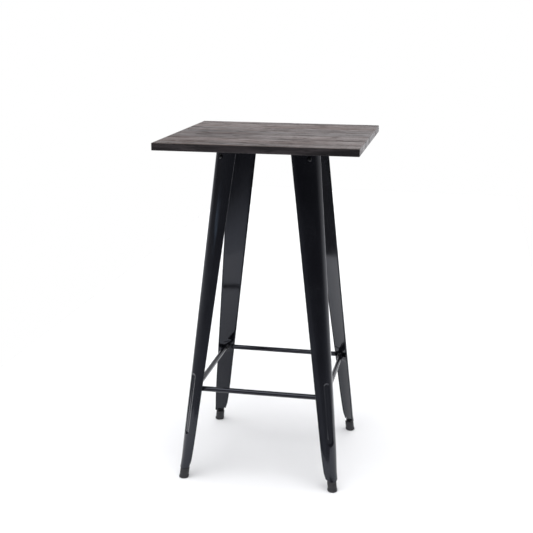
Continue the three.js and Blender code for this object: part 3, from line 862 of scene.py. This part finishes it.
def studio_floor():
    """A white paper sheet, wide enough that its edges lie outside the main view."""
    n = Nodes("studio_floor")
    mottle = n.noise(n.position, 1.3, 3.0)
    shade, white = (0.87, 0.875, 0.88), (0.89, 0.895, 0.90)
    n.set("Base Color", n.blend(n.remap(mottle, 0.3, 0.7, 0.0, 1.0), shade, white))
    n.shader.inputs["Roughness"].default_value = 0.8
    n.shader.inputs["Specular IOR Level"].default_value = 0.0
    mesh = bpy.data.meshes.new("studio_floor")
    mesh.from_pydata([(x, y, 0) for x, y in PAPER], [], [tuple(range(len(PAPER)))])
    mesh.materials.append(n.material)
    floor = bpy.data.objects.new("studio_floor", mesh)
    floor.location.z = -PAPER_DROP
    bpy.context.scene.collection.objects.link(floor)


def studio_world():
    """A white backdrop, a wide soft box overhead, a small cool window at the left and dim walls.

    The camera itself sees plain white behind the table."""
    world = bpy.data.worlds.new("studio")
    bpy.context.scene.world = world
    world.use_nodes = True
    tree = world.node_tree
    background = tree.nodes["Background"]
    direction = tree.nodes.new("ShaderNodeTexCoord").outputs["Generated"]

    def math_node(operation, a, b=0.0):
        node = tree.nodes.new("ShaderNodeMath")
        node.operation = operation
        for socket, value in zip(node.inputs, (a, b)):
            if isinstance(value, bpy.types.NodeSocket):
                tree.links.new(value, socket)
            else:
                socket.default_value = value
        return node.outputs[0]

    def toward(vector, source):
        node = tree.nodes.new("ShaderNodeVectorMath")
        node.operation = "DOT_PRODUCT"
        tree.links.new(source, node.inputs[0])
        node.inputs[1].default_value = vector
        return node.outputs["Value"]

    def ramp(value, low, high, to_low, to_high):
        node = tree.nodes.new("ShaderNodeMapRange")
        node.interpolation_type = "SMOOTHSTEP"
        tree.links.new(value, node.inputs["Value"])
        names = ("From Min", "From Max", "To Min", "To Max")
        for name, v in zip(names, (low, high, to_low, to_high)):
            node.inputs[name].default_value = v
        return node.outputs[0]

    flat = tree.nodes.new("ShaderNodeVectorMath")
    flat.operation = "MULTIPLY"
    tree.links.new(direction, flat.inputs[0])
    flat.inputs[1].default_value = (1, 1, 0)
    level = tree.nodes.new("ShaderNodeVectorMath")
    level.operation = "NORMALIZE"
    tree.links.new(flat.outputs[0], level.inputs[0])
    height = toward((0, 0, 1), direction)

    def around(azimuth, inner, outer, amount):
        """A glow of one amount within the inner angle of an azimuth, gone beyond the outer one."""
        turn = math.radians(azimuth)
        side = toward((math.cos(turn), math.sin(turn), 0), level.outputs[0])
        edge, full = math.cos(math.radians(outer)), math.cos(math.radians(inner))
        return ramp(side, edge, full, 0.0, amount)

    def total(*parts):
        result = parts[0]
        for part in parts[1:]:
            result = math_node("ADD", result, part)
        return result

    backdrop = total(around(92, 20, 31, 0.60), around(65, 15, 50, 0.40))
    backdrop = math_node("MULTIPLY", backdrop, ramp(height, 0.55, 0.75, 1.0, 0.1))
    overhead = ramp(toward((-0.10, -0.33, 0.939), direction), 0.70, 0.80, 0.0, 2.4)
    window = around(-167, 3, 13, 0.9)
    window = math_node("MULTIPLY", window, ramp(height, -0.016, -0.004, 0.0, 1.0))
    window = math_node("MULTIPLY", window, ramp(height, 0.004, 0.014, 1.0, 0.0))
    walls = total(around(-155, 5, 50, 0.08), around(-82, 4, 22, 0.14))
    # A dim glow just under the horizon, and a bright one further down where the paper lies.
    ground = total(ramp(height, -0.02, -0.16, 0.0, 0.26), ramp(height, -0.22, -0.36, 0.0, -0.26))
    ground = total(ground, ramp(height, -0.405, -0.475, 0.0, 0.85))

    def glow(strength, colour):
        node = tree.nodes.new("ShaderNodeVectorMath")
        node.operation = "SCALE"
        node.inputs[0].default_value = colour
        tree.links.new(strength, node.inputs["Scale"])
        return node.outputs[0]

    def plus(a, b):
        node = tree.nodes.new("ShaderNodeVectorMath")
        tree.links.new(a, node.inputs[0])
        if isinstance(b, bpy.types.NodeSocket):
            tree.links.new(b, node.inputs[1])
        else:
            node.inputs[1].default_value = b
        return node.outputs[0]

    everywhere = (0.085, 0.085, 0.095)
    light = plus(glow(backdrop, (0.98, 0.98, 1.0)), glow(overhead, (0.99, 0.99, 1.0)))
    light = plus(light, glow(window, (0.62, 0.86, 1.1)))
    light = plus(light, glow(total(walls, ground), (0.97, 1.0, 1.06)))
    light = plus(light, everywhere)
    camera_ray = tree.nodes.new("ShaderNodeLightPath").outputs["Is Camera Ray"]
    seen = tree.nodes.new("ShaderNodeMix")
    seen.data_type = "RGBA"
    tree.links.new(camera_ray, seen.inputs["Factor"])
    tree.links.new(light, seen.inputs[6])
    seen.inputs[7].default_value = (1, 1, 1, 1)
    tree.links.new(seen.outputs[2], background.inputs["Color"])


def studio_light():
    """A broad soft light from above, which no gloss surface mirrors."""
    light = bpy.data.lights.new("soft_sky", "SUN")
    light.angle = math.radians(60)
    light.energy = 0.85
    light.color = (1.0, 0.99, 0.975)
    sky = bpy.data.objects.new("soft_sky", light)
    sky.rotation_euler = Vector((-0.25, 0.1, -1.0)).to_track_quat("-Z", "Y").to_euler()
    sky.visible_glossy = False
    bpy.context.scene.collection.objects.link(sky)


def camera():
    """The main view: from the front, a little to the right and above the top."""
    azimuth, elevation, roll = (math.radians(a) for a in (11.21, 14.53, 0.243))
    data = bpy.data.cameras.new("camera")
    data.sensor_width = 36
    data.lens = 67.06
    data.clip_start, data.clip_end = 0.05, 200
    cam = bpy.data.objects.new("camera", data)
    bpy.context.scene.collection.objects.link(cam)
    level = math.cos(elevation)
    back = Vector((math.sin(azimuth) * level, -math.cos(azimuth) * level, math.sin(elevation)))
    aim = (-back).to_track_quat("-Z", "Y") @ Matrix.Rotation(roll, 3, "Z").to_quaternion()
    cam.rotation_euler = aim.to_euler()
    cam.location = (0.5797, -3.0261, 1.4425)
    bpy.context.scene.camera = cam


studio_floor()
studio_world()
studio_light()
camera()
bpy.context.scene.view_settings.view_transform = "Standard"
